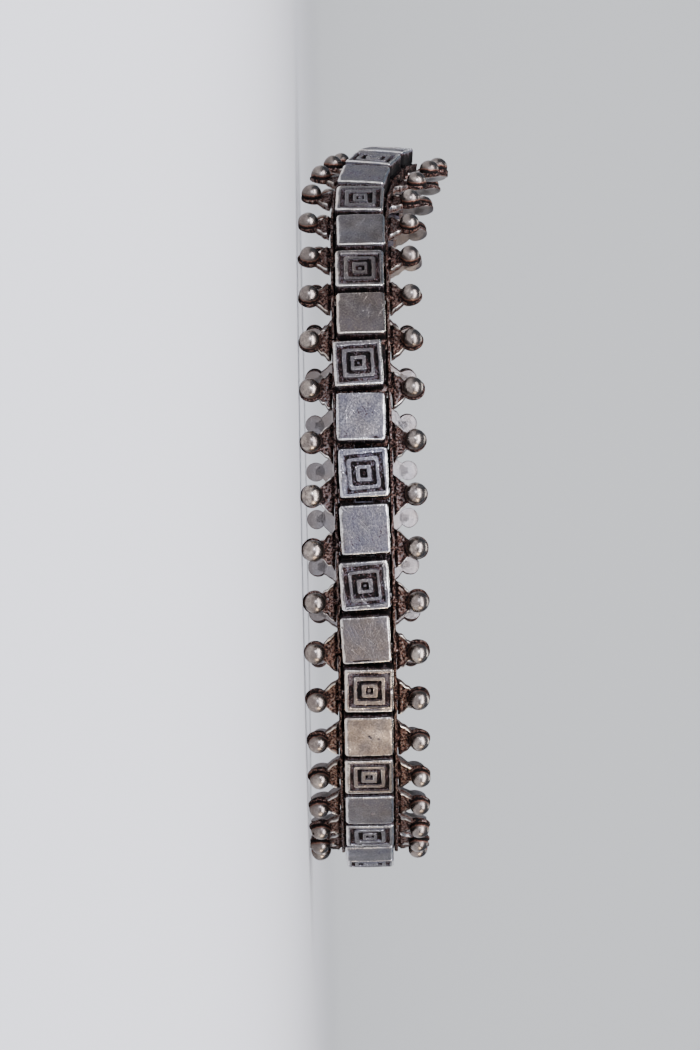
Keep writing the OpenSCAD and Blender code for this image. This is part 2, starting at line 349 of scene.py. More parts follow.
def box_stack(i, form, engraved):
    """A worn box: loops walked from the middle of its face, round its edge, down the walls and under it.

    A row is mixed from the two named loops that it lies between. Its height is the face's, less a smooth step
    into each groove and an arc at the edge, and then the wall's.
    """
    rng = np.random.default_rng(100 + i)
    loops, side = box_loops(i, form, rng)
    edge = form.edge_round / MM
    half = BOX_SIDE / 2

    # Rows of the face, the rounded edge, the walls and the underside, by their place between the named loops
    if engraved:
        steps = (-0.2, -0.1, 0.0, 0.1, 0.22, 0.4, 0.6)
        face = [0.12, 0.5, 0.8] + [k + step for k in range(1, 6) for step in steps]
        face += [5.8, 5.9, 6, 6.1, 6.22, 6.5, 6.75]
    else:
        face = np.linspace(0.4, 6.7, 20).tolist()
    arc = np.radians([0, 25, 50, 75])
    wall = [2.0 - edge, 1.75, 1.45, 1.15, OVERHANG_HEIGHT + 0.05]
    under = [7.6, 4.0, 0.3]
    places = np.array(face + (7 + np.sin(arc)).tolist() + [8.0] * len(wall) + under)
    low = np.floor(places).astype(int).clip(0, 7)
    share = (places - low)[:, None, None]
    flat = loops[low] * (1 - share) + loops[low + 1] * share
    x, y = flat[..., 0], flat[..., 1]
    p = places[:, None]

    # Height: slow swells, a slight crown and lean, the grooves, slopes beside the rails, and dents
    lean_x, lean_y = rng.normal(0, 0.004, 2)
    cut = groove_cut(i, p, side, flat) * engraved
    in_boss = smooth(1.1 - p, 0, 0.3) * engraved
    slope_w = np.where(y < 0, 0.34, 0.26) * (1 + 0.15 * ripple(flat[..., :1], 2.0, 600 + i))
    near_rail = ((np.abs(y) - half) / slope_w + 1).clip(0, 1)
    dent = 0 * x
    for at_x, at_y, long, wide in DENTS.get(i, ()):
        dent = dent + smooth(np.hypot((x - at_x) / long, (y - at_y) / wide), 1, 0.3)
    z = (FACE_HEIGHT - FACE_DROP + form.face_unevenness / MM * ripple(flat, 1.7, 500 + i)
         - CROWN * (x * x + y * y) / half ** 2 + lean_x * x + lean_y * y - form.groove_depth / MM * cut
         - form.side_slope / MM * near_rail ** 2 - BOSS_DROP * in_boss - DENT_DEPTH * dent)
    edge_end = len(face) + len(arc)
    z[len(face):edge_end] -= edge * (1 - np.cos(arc))[:, None]
    z[edge_end:] = np.array(wall + [OVERHANG_HEIGHT] * len(under))[:, None]

    # Wear: broad clouds, dark grooves between bright lips, slopes and edges rubbed bright with painted
    # highlight on top, and black walls of tarnish and painted shade
    # Wear added by link: partly tarnish, partly painted light and shade that differ face by face
    wear_and_light_added, _, _ = FACE_LOOKS.get(i, HIDDEN_LOOK)
    tone = form.face_wear + wear_and_light_added
    in_cut = smooth(cut, 0, 0.75)
    lip = np.exp(-((p - np.round(p)) / 0.2) ** 2) * (1 - in_cut) * engraved
    wear = tone + 0.055 * ripple(flat, 3.0, 1000 + i) - 0.06 * engraved
    wear = wear - (tone + 0.02 - 0.1 * (p > 4.6)) * in_cut + 0.3 * lip * (p > 0.8) - 0.2 * in_boss
    # Slopes beside the rails: rubbed wear, brightened further as painted highlight
    wear = wear + (1 - in_cut) * (1 - tone) * smooth(near_rail, 0, 0.7)
    # Edges: rubbed wear, brighter on some sides as painted highlight
    edge_wear_and_highlight = np.choose(side, EDGE_WEAR_AND_HIGHLIGHT) + 0.05 * ripple(flat, 1.2, 800 + i)
    rubbed = np.maximum(wear, tone + (edge_wear_and_highlight - tone) * smooth(p, 6.76, 7.0))
    wear = np.where(p > 6.76, rubbed, wear) - 0.75 * dent
    # Walls and underside: black tarnish, darkened further as painted shade under the box
    down = np.array([0.88, 0.42, 0.06, -0.1, -0.15, -0.2] + [-0.2] * len(under))[:, None]
    wear[edge_end - 1:] = down + 0.06 * ripple(flat[edge_end - 1:], 0.9, 700 + i)

    slip, skew = BOX_PLACES.get(i, (0, 0))
    skew = math.radians(skew)
    points = np.stack([BOX_SHIFT + x * math.cos(skew) - y * math.sin(skew),
                       slip + x * math.sin(skew) + y * math.cos(skew), z], axis=-1)
    return points, wear, FACE


def bar(loop_y, loop_z, start, end, rows, ease=0.05):
    """A loop across the band, carried along it from one end to the other, and a little smaller at both.

    The ends are functions that give x for each height and place across the band.
    """
    u = np.concatenate([[0], np.linspace(0.012, 0.988, rows), [1]])[:, None]
    mid_y, mid_z = loop_y.mean(), loop_z.mean()
    reach = np.hypot(loop_y - mid_y, loop_z - mid_z)
    keep = np.where((u == 0) | (u == 1), 1 - ease / reach, 1)
    y, z = mid_y + (loop_y - mid_y) * keep, mid_z + (loop_z - mid_z) * keep
    x = start(y, z) * (1 - u) + end(y, z) * u
    return np.stack([x, y, z], axis=-1)


def rail_stack(i, side, place, form):
    """A thin rail: a rounded rectangle carried along the band, whose top wavers by noise along its length.

    Beside both hinges solder widens it inwards. Its worn crest is a thin line that wanders over the top.
    """
    walk_y, walk_z, _ = square_walk(7)
    loop_y, loop_z = rounded(walk_y, walk_z, RAIL_T / 2, (RAIL_HEIGHT + UNDERSIDE) / 2, 0.07)
    middle = side * (TRAY_W - RAIL_T) / 2
    points = bar(middle + loop_y, (RAIL_HEIGHT - UNDERSIDE) / 2 + loop_z,
                 partial(place.cut, 0), partial(place.cut, 1), 28, 0.04)
    seed = 900 + 2 * i + (side > 0)
    wave = form.rail_wave / MM
    along = points[..., :1]
    high = smooth(points[..., 2], 0.2, RAIL_HEIGHT)
    points[..., 1] += (0.5 * wave * ripple(along, 2.3, seed) + 0.2 * wave * ripple(along, 0.7, seed)) * high
    points[..., 2] += wave * (ripple(along, 0.9, seed + 40) - 0.8) * high
    inner = smooth(side * (middle - points[..., 1]), 0, RAIL_T / 3)
    beside_hinge = smooth(np.abs(points[..., 0]), PITCH / 2 - 0.85, PITCH / 2 - 0.7)
    points[..., 1] -= side * SOLDER * inner * beside_hinge * (1 - smooth(points[..., 2], 0.3, 0.45))

    crest = middle + 0.1 * ripple(along, 1.6, seed + 60)
    line = smooth(-abs(points[..., 1] - crest), -0.08, -0.02)
    line = line * smooth(ripple(along, 1.1, seed + 80), -2.2, -0.9)
    wear = 0.1 * smooth(points[..., 2], 0.5, 0.68) + 0.42 * high * line
    return points, np.where(points[..., 2] < -0.35, 0.45, wear), CAST


def block_stack(i, middle, half, ends, rows, wear):
    """A block: a rounded rectangle across the band, carried along it between two places."""
    walk_y, walk_z, _ = square_walk(5)
    loop_y, loop_z = rounded(walk_y, walk_z, *half, 0.05)
    start, end = ends
    points = bar(middle[0] + loop_y, middle[1] + loop_z, lambda y, z: start + 0 * y, lambda y, z: end + 0 * y,
                 rows)
    return points, np.where(points[..., 2] < -0.45, 0.24, wear) + 0.05 * ripple(points, 0.6, 7 * i), FACE


def tray_stacks(i, place, form):
    """Two rails, the floor between them, the foot under the box, and the webs of the three knuckles."""
    start, end = FLOOR_START - SOLDER - PITCH / 2, FLOOR_END + SOLDER - PITCH / 2
    foot = UNDERSIDE + OVERHANG_HEIGHT + BITE
    web_z, web_half = (WEB_HEIGHT - WEB_DEPTH) / 2, (WEB_HEIGHT + WEB_DEPTH) / 2
    outer_half, middle_half = KNUCKLE_W / 2 - BITE, MIDDLE_HALF - BITE
    stacks = [rail_stack(i, side, place, form) for side in (-1, 1)]
    # Low wear on the floor, the foot and the webs: black tarnish and painted shade in the gaps between the
    # boxes
    stacks.append(block_stack(i, (0, FLOOR_T / 2 - UNDERSIDE), (TRAY_W / 2 - BITE, FLOOR_T / 2), (start, end),
                              10, -0.12))
    stacks.append(block_stack(i, (0, foot / 2 - UNDERSIDE), (FOOT_W / 2, foot / 2), (start, end), 10, -0.1))
    for side in (-1, 1):
        stacks.append(block_stack(i, (side * KNUCKLE_SIDE, web_z), (outer_half, web_half),
                                  (-PITCH / 2, start + BITE), 4, -0.05))
    stacks.append(block_stack(i, (0, web_z), (middle_half, web_half), (end - BITE, PITCH / 2), 3, -0.1))
    return stacks


def rod(y_rows, radii, count, seed=0, rough=0.0):
    """Circles round the line of a hinge pin, at given places across the band, roughened by noise."""
    angle = np.arange(count) * 2 * math.pi / count
    r = np.asarray(radii)[:, None]
    y = np.asarray(y_rows)[:, None] + 0 * angle
    points = np.stack([PITCH / 2 + r * np.cos(angle), y, r * np.sin(angle)], axis=-1)
    outwards = np.stack([np.cos(angle), 0 * angle, np.sin(angle)], axis=-1)
    return points + outwards * (rough * (ripple(points, 0.45, seed) - 0.6))[..., None]


def knuckle_stack(i, middle, half, wear):
    """A short tube of rough solder round a hinge pin: circles that are smaller towards both ends."""
    ends = np.array([-1, -0.97, -0.84, -0.42, 0, 0.42, 0.84, 0.97, 1])
    radii = KNUCKLE_R * np.array([0.84, 0.93, 0.99, 1, 1, 1, 0.99, 0.93, 0.84])
    seed = 1100 + 3 * i + int(np.sign(middle))
    points = rod(middle + ends * half, radii, 22, seed=seed, rough=0.03)
    # Lumps on the outward side: rubbed high points, brightened as painted highlight
    lumps = smooth(points[..., 2], 0.1, 0.5) * (0.5 + 0.5 * ripple(points, 0.5, seed + 200))
    return points, np.where(points[..., 2] < -0.4, 0.5, wear + LUMP_WEAR_AND_HIGHLIGHT * abs(wear) * lumps), CAST


def hinge_pin_stack():
    """A plain pin across the band, from one ear to the other: circles that are smaller at both ends."""
    y = PIN_HALF * np.array([-1, -0.98, -0.5, 0, 0.5, 0.98, 1])
    points = rod(y, PIN_R * np.array([0.8, 1, 1, 1, 1, 1, 0.8]), 14)
    return points, np.full(points.shape[:2], 0.12), CAST


def underside_at(i, y):
    """Height of an ear's underside at a distance across the band: flat, then rising in a straight line."""
    slope = 0.0 if i == CLASP_LINK else (EAR_T - TIP_T) / (BALL_SIDE - FIELD_START)
    return EAR_TOP - EAR_T + slope * np.maximum(0, y - FIELD_START)


def ear_stack(i, side, form):
    """A leaf-shaped ear: sections along the band, carried outwards from the rail to the ball.

    Half its length falls in a straight line from root to neck, plus a bow that is a parabola. Its face is
    a rim at full height that falls by a smooth step, in the distance from the flank, to a granular field.
    """
    # A section is walked over its top, down one flank, back along its underside and up the other
    top_v = np.sin(np.linspace(-1, 1, 32) * math.pi / 2)
    low_v = np.linspace(0.96, -0.96, 8)
    v = np.concatenate([top_v, [1, 1], low_v, [-1, -1]])
    share = np.concatenate([np.ones(32), [0.66, 0.33], np.zeros(8), [0.33, 0.66]])
    u = np.linspace(0, 1, 22)[:, None] ** 0.9
    root = TRAY_W / 2 + 0.03
    out = root + (BALL_SIDE - root) * u
    t = (out - TRAY_W / 2) / (NECK_SIDE - TRAY_W / 2)
    seed = 1500 + 2 * i + (side > 0)
    upper_bow, lower_bow = FLANK_BOW + np.random.default_rng(seed).normal(0, 0.035, 2).clip(-0.06, 0.06)
    bow = np.where(v < 0, upper_bow, lower_bow)
    half = (EAR_HALF + (NECK_HALF - EAR_HALF) * t + math.sqrt(2) * bow * 4 * t * (1 - t)).clip(0.3)
    x = v * half * (1 + 0.03 * ripple(out, 0.7, seed)[:, None])
    root = TRAY_W / 2 - BITE + (BITE + EAR_GAP - SOLDER) * smooth(x, -0.22, -0.06)
    y = root + (BALL_SIDE - root) * u

    d = (1 - np.abs(v)) * half
    flank = np.stack([np.sign(v) * 5 + 0 * y, y], axis=-1)
    rim = 1.05 * RIM_W * (1 + 0.25 * ripple(flank, 0.8, seed + 100))
    to_ball = np.hypot(x, y - BALL_SIDE)
    inside = smooth(d, 0.45 * rim, 1.3 * rim)
    field = inside * smooth(to_ball, SEAT_R, SEAT_R + 0.2)
    flat = np.stack([x, y], axis=-1)
    grain = form.field_grain / MM
    slot_end = TRAY_W / 2 + EAR_GAP
    face = (EAR_TOP - (FIELD_DEPTH + 0.04) * field + grain * field * ripple(flat, 0.36, seed + 200)
            + 0.5 * grain * ripple(flat, 0.7, seed + 300)
            - 0.06 * (1 - d / 0.08).clip(0, 1) ** 2 - 0.06 * (1 - smooth(to_ball, 0.85, 0.95))
            - 0.22 * (1 - smooth(y, slot_end, slot_end + 0.16)))
    base = underside_at(i, y)
    z = base + (face - base) * share
    wear = (0.9 - 0.64 * inside) * smooth(y, slot_end + 0.02, slot_end + 0.2)
    # Darker round the ball: painted shade in the crevice at its foot
    wear = wear * smooth(to_ball, 0.95, 1.2) + 0.12 * inside * ripple(flat, 0.36, seed + 200)
    wear = np.where(share < 0.9, 0.66 - 0.48 * (share > 0) + 0.3 * (share > 0.5), wear)
    return np.stack([PITCH / 2 + x, side * y, z], axis=-1), wear, CAST


def ball_share(i):
    """Size of link i's balls and seats beside the solids': full at the front, less further round."""
    return 1 - BALL_SHRINK * (1 - math.exp(-((i - FRONT_LINK) / SHRINK_REACH) ** 4))


def seat_stack(i, side, form):
    """The round seat of a ball: circles from the middle of its top, over the edge, to the underside."""
    r = np.array([0.05, 0.7, 0.9, 0.95, 0.985, 1.0, 1.0, 0.96, 0.5, 0.05])[:, None] * SEAT_R * ball_share(i)
    share = np.array([1, 1, 1, 0.97, 0.9, 0.75, 0.15, 0, 0, 0])[:, None]
    angle = np.arange(36) * 2 * math.pi / 36
    ring = np.stack([np.cos(angle), np.sin(angle)], axis=-1)
    seed = 1900 + 2 * i + (side > 0)
    r = r * (1 + 0.012 * ripple(ring, 1.3, seed))
    x, y = r * np.cos(angle), BALL_SIDE + r * np.sin(angle)
    base = underside_at(i, y)
    z = base + (EAR_TOP - base) * share
    # The seat's top stays near black as painted shade round the ball's foot, but for its rubbed rim; its
    # underside is worn pale
    rubbed = (share > 0.5) * smooth(share, 1.0, 0.9) * (0.5 + 0.5 * ripple(ring, 0.8, seed + 50))
    wear = np.where(share > 0, 0.04 + 0.3 * rubbed, 0.66)
    return np.stack([PITCH / 2 + x, side * y, z], axis=-1), wear, CAST


def ball_stack(i, side, form):
    """A hand-made ball: a sphere with slow swells, set a little off, whose foot is flattened on its seat."""
    rng = np.random.default_rng(2300 + 2 * i + (side > 0))
    down = np.radians(np.linspace(5, 175, 22))[:, None]
    around = np.arange(30) * 2 * math.pi / 30
    across = -np.cos(down) + 0 * around
    unit = np.stack([np.sin(down) * np.cos(around), across, np.sin(down) * np.sin(around)], axis=-1)
    swell = form.ball_unevenness / MM
    r = BALL_R * ball_share(i) * rng.uniform(0.97, 1.0)
    r = r + swell * ripple(unit * BALL_R, 1.5, 2500 + 2 * i + (side > 0))
    slip = rng.normal(0, form.ball_slip / MM, 3) * [1, 0.8, 0.4] + [0.03, -0.03, ball_share(i) - 1]
    centre = np.array([PITCH / 2, BALL_SIDE, BALL_HEIGHT]) + slip.clip(-0.12, 0.12)
    points = centre + unit * r[..., None]
    points[..., 2] = np.maximum(points[..., 2], underside_at(i, points[..., 1]) + 0.03)
    # Bright on the outward cap by wear; darker towards the seat by tarnish, with painted shade from the seat
    # and a painted dark reflection at the rim
    wear = -0.08 + (form.ball_wear + 0.14) * smooth(points[..., 2], EAR_TOP, EAR_TOP + 0.62)
    points[..., 1] *= side
    return points, wear, BALL


# Turning stacks into pieces

def band_faces(rows, columns, start=0):
    """Numbers of a stack's points, as a grid, and the four-sided faces between its neighbouring loops."""
    index = start + np.arange(rows * columns).reshape(rows, columns)
    after = np.roll(index, -1, axis=1)
    faces = np.stack([index[:-1], index[1:], after[1:], after[:-1]], axis=-1)
    return index, faces.reshape(-1, 4).tolist()


def piece_from_stacks(name, stacks, finishes, node, painted_light_tint=0.0, scratched=0.5):
    """Joins stacks into one mesh: four-sided faces between their loops, and a flat face on each end loop.

    Places on the band become its UV map, and the looks become attributes of its points.
    """
    points, wear, flat, faces, slots, start = [], [], [], [], [], 0
    for world, local, worn, finish in stacks:
        rows, columns = world.shape[:2]
        index, band = band_faces(rows, columns, start)
        band += [index[0, ::-1].tolist(), index[-1].tolist()]
        faces += band
        slots += [finish] * len(band)
        points.append(world.reshape(-1, 3) * MM)
        flat.append(local[..., :2].reshape(-1, 2))
        wear.append(np.broadcast_to(worn, (rows, columns)).reshape(-1))
        start += rows * columns
    points, wear, flat = np.concatenate(points), np.concatenate(wear), np.concatenate(flat)
    mesh = bpy.data.meshes.new(name)
    mesh.from_pydata(points.tolist(), [], faces)
    mesh.polygons.foreach_set("material_index", slots)
    for finish in finishes:
        mesh.materials.append(finish)
    for look, values in (("wear", wear.clip(-0.2, 1)), ("painted_light_tint", np.full(len(wear), painted_light_tint)),
                         ("scratched", np.full(len(wear), scratched))):
        layer = mesh.attributes.new(look, "FLOAT", "POINT")
        layer.data.foreach_set("value", values.astype(np.float32))
    corners = np.empty(len(mesh.loops), np.int32)
    mesh.loops.foreach_get("vertex_index", corners)
    mesh.uv_layers.new(name="band").data.foreach_set("uv", flat[corners].astype(np.float32).ravel())
    work = bmesh.new()
    work.from_mesh(mesh)
    bmesh.ops.recalc_face_normals(work, faces=work.faces)
    work.to_mesh(mesh)
    work.free()
    mesh.polygons.foreach_set("use_smooth", [True] * len(mesh.polygons))
    mesh.set_sharp_from_angle(angle=math.radians(48))
    mesh.update()
    piece = bpy.data.objects.new(name, mesh)
    bpy.context.scene.collection.objects.link(piece)
    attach(piece, "root")
    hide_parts(node)
    return piece


def build_link(i, form, finishes):
    """All that is soldered into link i, joined into one piece."""
    engraved = i % 2 == 0
    here, before = Place(i), Place(i - 1)
    parts = [(here, box_stack(i, form, engraved))]
    parts += [(here, stack) for stack in tray_stacks(i, here, form)]
    # Low wear on the knuckles: black tarnish and painted shade in the gaps between the boxes
    parts += [(before, knuckle_stack(i, side * KNUCKLE_SIDE, KNUCKLE_W / 2, 0.12)) for side in (-1, 1)]
    parts.append((here, knuckle_stack(i, 0, MIDDLE_HALF + SOLDER, -0.08)))
    if i != CLASP_LINK:
        parts.append((here, hinge_pin_stack()))
    for side in (-1, 1):
        parts += [(here, make(i, side, form)) for make in (ear_stack, seat_stack, ball_stack)]
    stacks = [(place.to_world(points), points + [i * PITCH, 0, 0], wear, finish)
              for place, (points, wear, finish) in parts]
    node = f"{'engraved' if engraved else 'plain'}_link_{i + 1:02d}"
    _, painted_light_tint, scratched = FACE_LOOKS.get(i, HIDDEN_LOOK)
    return piece_from_stacks("worn_" + node, stacks, finishes, node, painted_light_tint, scratched)


# Finishes

def linear(code):
    """Linear colour of an sRGB hex code."""
    parts = np.array([int(code[k:k + 2], 16) / 255 for k in (1, 3, 5)])
    return tuple(np.where(parts <= 0.04045, parts / 12.92, ((parts + 0.055) / 1.055) ** 2.4))


def add_node(tree, kind, inputs=(), output=0, stops=(), **settings):
    """Adds a shader node and gives back one of its outputs.

    Inputs are values or other nodes' outputs, by name or in order. Stops are the places of a colour ramp,
    in rising order, each with its colour or value. All else is the node's own settings.
    """
    node = tree.nodes.new("ShaderNode" + kind)
    for name, value in settings.items():
        setattr(node, name, value)
    for name, value in inputs.items() if isinstance(inputs, dict) else enumerate(inputs):
        if isinstance(value, bpy.types.NodeSocket):
            tree.links.new(value, node.inputs[name])
        else:
            node.inputs[name].default_value = value
    for k, (place, look) in enumerate(stops):
        element = node.color_ramp.elements[k] if k < 2 else node.color_ramp.elements.new(place)
        element.position = place
        element.color = (*look, 1) if isinstance(look, tuple) else (look, look, look, 1)
    return node.outputs[output]


def mottle(tree, where, grain, detail, roughness=0.6):
    """Noise whose lumps measure the given length in metres, moved to lie round zero."""
    looks = {"Vector": where, "Scale": 1 / grain, "Detail": detail, "Roughness": roughness}
    noise = add_node(tree, "TexNoise", looks, output="Fac")
    return add_node(tree, "Math", (noise, 0.5), operation="SUBTRACT")


def scratch_lines(tree, angle, stretch, per_mm, strength):
    """Fine scratches side by side: noise on the band's own map, turned by an angle and drawn out along it."""
    band = add_node(tree, "UVMap", uv_map="band")
    turned = add_node(tree, "Mapping", {"Vector": band, "Rotation": (0, 0, angle),
                                        "Scale": (stretch / per_mm, 1 / per_mm, 1)}, vector_type="TEXTURE")
    lines = add_node(tree, "TexNoise", {"Vector": turned, "Scale": 1.0, "Detail": 1.0}, output="Fac")
    return add_node(tree, "MapRange", {"Value": lines, "From Min": 0.6, "From Max": 0.72,
                                       "To Min": 0.0, "To Max": strength})


def round_pits(tree, where, cell, strength):
    """Small round pits: in two cells of five, what lies nearer to the cell's point than a random length."""
    distance = add_node(tree, "TexVoronoi", {"Vector": where, "Scale": 1 / cell}, output="Distance")
    chance = add_node(tree, "SeparateColor", {"Color": distance.node.outputs["Color"]})
    size = add_node(tree, "Math", (chance, 0.6), operation="SUBTRACT")
    size = add_node(tree, "Math", (size, 0.4), operation="MULTIPLY")
    depth = add_node(tree, "Math", (size, distance), operation="SUBTRACT")
    return add_node(tree, "MapRange", {"Value": depth, "From Min": -0.04, "From Max": 0.04,
                                       "To Min": 0.0, "To Max": strength})


def worn_silver(name, stops, colours, grain, grain_share, worn_share, blotch_share, bump, scratches=0.0,
                pits=0.0, pit_cell=0.8 * MM, gloss=0.3, warm=0.0, painted_glint_share=0.0):
    """Silver with a tarnished ground: wear, made uneven by noise, sets its colour, gloss and metal.

    The grain has one share in the recesses and another on worn metal, where it is the stronger the more
    freshly the piece is scratched. Scratches and pits are drawn over it. The glint share lets the grain
    lighten and darken the colour as painted glints. Well worn edges are smooth.
    """
    material = bpy.data.materials.new(name)
    material.use_nodes = True
    tree = material.node_tree
    shader = tree.nodes["Principled BSDF"]
    new = partial(add_node, tree)
    where = new("TexCoord", output="Object")
    wear, scratched, painted_light_tint = [new("Attribute", output="Fac", attribute_name=look)
                               for look in ("wear", "scratched", "painted_light_tint")]
    fine = mottle(tree, where, grain, 4.0, 0.7)
    broad = mottle(tree, where, 1.3 * MM, 2.0)
    on_worn = new("Math", (scratched, worn_share), operation="MULTIPLY")
    fine_share = new("MapRange", {"Value": wear, "From Min": 0.25, "From Max": 0.6,
                                  "To Min": grain_share, "To Max": on_worn})
    worn = new("Math", (fine, fine_share, wear), operation="MULTIPLY_ADD")
    worn = new("Math", (broad, blotch_share, worn), operation="MULTIPLY_ADD")
    height = fine
    if scratches:
        for angle, stretch, per_mm, gain in SCRATCHES:
            line = scratch_lines(tree, angle, stretch, per_mm, scratches)
            height = new("Math", (height, line), operation="SUBTRACT")
            line = new("Math", (line, scratched), operation="MULTIPLY")
            worn = new("Math", (line, gain, worn), operation="MULTIPLY_ADD")
    if pits:
        pit = round_pits(tree, where, pit_cell, pits)
        worn = new("Math", (worn, pit), operation="SUBTRACT")
        height = new("Math", (height, pit), operation="SUBTRACT")

    # Cool, plain and warm silver in patches of a few millimetres, shifted by each link's painted tint of cool
    # and warm light
    patches = new("Math", (mottle(tree, where, 1.9 * MM, 1.0), 2.2, painted_light_tint), operation="MULTIPLY_ADD")
    patches = new("Math", (patches, 0.25, 0.5 + warm), operation="MULTIPLY_ADD")
    tint = new("ValToRGB", (patches,), stops=[(0.2, linear("#d3dcf4")), (0.5, 1.0), (0.8, linear("#fdf2e4"))])
    colour = new("ValToRGB", (worn,), stops=zip(stops, colours))
    colour = new("Mix", {6: colour, 7: tint, "Factor": 1.0}, output=2,
                 data_type="RGBA", blend_type="MULTIPLY")
    # Painted glints: the grain lightens and darkens the colour, the more on freshly scratched links
    glint = new("Math", (fine, scratched), operation="MULTIPLY")
    glint = new("Math", (glint, painted_glint_share, 1.0), operation="MULTIPLY_ADD")
    colour = new("VectorMath", {0: colour, "Scale": glint}, operation="SCALE")
    metal = new("ValToRGB", (worn,), stops=[(0.1, 0.0), (0.35, 0.9), (0.5, 1.0)])
    rough = new("ValToRGB", (worn,), stops=[(0.0, 0.8), (0.3, 0.55), (0.6, gloss), (0.95, gloss - 0.08)])
    uneven = new("ValToRGB", (wear,), stops=[(0.6, 1.0), (0.85, 0.12)])
    height = new("Math", (height, uneven), operation="MULTIPLY")
    for socket, value in (("Base Color", colour), ("Metallic", metal), ("Roughness", rough),
                          ("Normal", new("Bump", {"Height": height, "Distance": bump}))):
        tree.links.new(value, shader.inputs[socket])
    shader.inputs["Specular IOR Level"].default_value = 0.15
    return material


def link_finishes(finish):
    """The three finishes of a link, in the order of its slots.

    Real tarnish has grains too fine for the picture, so they are drawn 0.16 to 0.25 mm wide.
    """
    names = ("silver_filed_face", "silver_cast_and_tarnished", "silver_hammered_ball")
    known = [bpy.data.materials.get(name) for name in names]
    if all(known):
        return known
    face_colours = [tuple(colour) for colour in (finish.crust, finish.brown, finish.slate, finish.dull,
                                                 finish.grey, finish.bright)]
    face_stops = (0.02, 0.1, 0.17, 0.5, 0.74, 0.95)
    colours = face_colours[:2] + [tuple(finish.taupe)] + face_colours[3:]
    stops = (0.08, 0.23, 0.34, 0.46, 0.68, 0.92)
    # Sterling silver, filed flat and rubbed by wear: grey with crossing scratches, white edges and painted
    # glints
    face = worn_silver(names[0], face_stops, face_colours, 0.16 * MM, 1.2, 0.9, 0.2, 0.018 * MM,
                       scratches=0.5, pits=0.25, pit_cell=0.9 * MM, painted_glint_share=2.8)
    # Sterling silver as cast, its ground left rough and black: brown grains between worn rims
    cast = worn_silver(names[1], stops, colours, 0.16 * MM, 2.6, 0.5, 0.1, 0.06 * MM, gloss=0.36, warm=0.15)
    # Sterling silver melted to a ball and rubbed bright: soft gloss with small black pits and painted glints
    ball = worn_silver(names[2], stops, colours, 0.25 * MM, 0.8, 0.35, 0.4, 0.016 * MM, pits=0.8, gloss=0.29,
                       warm=0.36, painted_glint_share=1.6)
    return [face, cast, ball]


# Floor, lights and camera

def studio_floor(colour):
    """The floor, a shallow bowl: circles that rise with the square of the way past its flat middle."""
    flat_r, rim_r, steepness = 0.62, 1.72, 0.35
    r = np.concatenate([[0.002, 0.1, 0.35, 0.6], flat_r + np.linspace(0, 1, 90) ** 1.5 * (rim_r - flat_r)])
    height = steepness * np.maximum(0, r - flat_r) ** 2
    angle = np.arange(120) * 2 * math.pi / 120
    x, y = r[:, None] * np.cos(angle), r[:, None] * np.sin(angle)
    points = np.stack([x, y, height[:, None] + 0 * angle], axis=-1).reshape(-1, 3)
    index, faces = band_faces(len(r), len(angle))
    mesh = bpy.data.meshes.new("studio_floor")
    mesh.from_pydata(points.tolist(), [], faces + [index[0].tolist()])
    mesh.polygons.foreach_set("use_smooth", [True] * len(mesh.polygons))
    # Backdrop paper, pressed without a coating: dead matt and even
    paper = bpy.data.materials.new("matt_backdrop_paper")
    paper.use_nodes = True
    shader = paper.node_tree.nodes["Principled BSDF"]
    shader.inputs["Base Color"].default_value = (*colour, 1)
    shader.inputs["Roughness"].default_value = 1.0
    shader.inputs["Specular IOR Level"].default_value = 0.0
    mesh.materials.append(paper)
    floor = bpy.data.objects.new("studio_floor", mesh)
    bpy.context.scene.collection.objects.link(floor)


def studio_lights(studio):
    """A dim blue-grey room and five lamps, all aimed at the front of the loop but the one on the far wall."""
    room = bpy.data.worlds.new("studio_air")
    room.use_nodes = True
    background = room.node_tree.nodes["Background"]
    background.inputs["Color"].default_value = (*linear("#8f9bb0"), 1)
    background.inputs["Strength"].default_value = 0.45
    bpy.context.scene.world = room

    front, wall = Vector((0, -0.02, 0.006)), Vector((0, 1.5, 0.1))
    # Name, place, width, height, power, colour, and what it is aimed at
    lamps = (("key_softbox", (-0.2, -0.6, 0.1), 0.12, 0.12, studio.key_power, "#e6ecff", front),
             ("top_strip", (0, -0.48, 0.4), 1.1, 0.22, studio.top_power, "#f7f4fc", front),
             ("front_panel", (-0.1, -1.0, 0.42), 0.6, 0.6, studio.front_power, "#dfe8ff", front),
             ("side_panel", (0.72, -0.25, 0.16), 0.25, 0.25, studio.side_power, "#ffe7cc", front),
             ("wall_panel", (0, 0.75, 1.1), 1.0, 1.0, studio.wall_power, "#ffffff", wall))
    for name, place, width, height, power, colour, aim in lamps:
        lamp = bpy.data.lights.new(name, "AREA")
        lamp.shape = "ELLIPSE" if width == height else "RECTANGLE"
        lamp.size, lamp.size_y, lamp.energy, lamp.color = width, height, power, linear(colour)
        holder = bpy.data.objects.new(name, lamp)
        holder.location = place
        holder.rotation_euler = (aim - Vector(place)).to_track_quat("-Z", "Y").to_euler()
        holder.visible_camera = False
        bpy.context.scene.collection.objects.link(holder)


def studio_camera(distance):
    """The camera in front of the loop, lying on its side, so that the picture's up is the bracelet's -X.

    The long side of its picture spans 88.9 mm at a distance of 470 mm.
    """
    span, at_distance, film = 88.9, 470, 36
    lean = math.radians(1.1)
    right = Vector((math.sin(lean), 0, math.cos(lean)))
    up = Vector((-math.cos(lean), 0, math.sin(lean)))
    place = Matrix((right, up, right.cross(up))).transposed().to_4x4()
    place.translation = Vector((0.00162, -distance, 0.00418))
    camera = bpy.data.cameras.new("camera")
    camera.sensor_width = film
    camera.lens = film * at_distance / span
    camera.clip_start = 0.01
    holder = bpy.data.objects.new("camera", camera)
    holder.matrix_world = place
    bpy.context.scene.collection.objects.link(holder)
    bpy.context.scene.camera = holder


# Settings

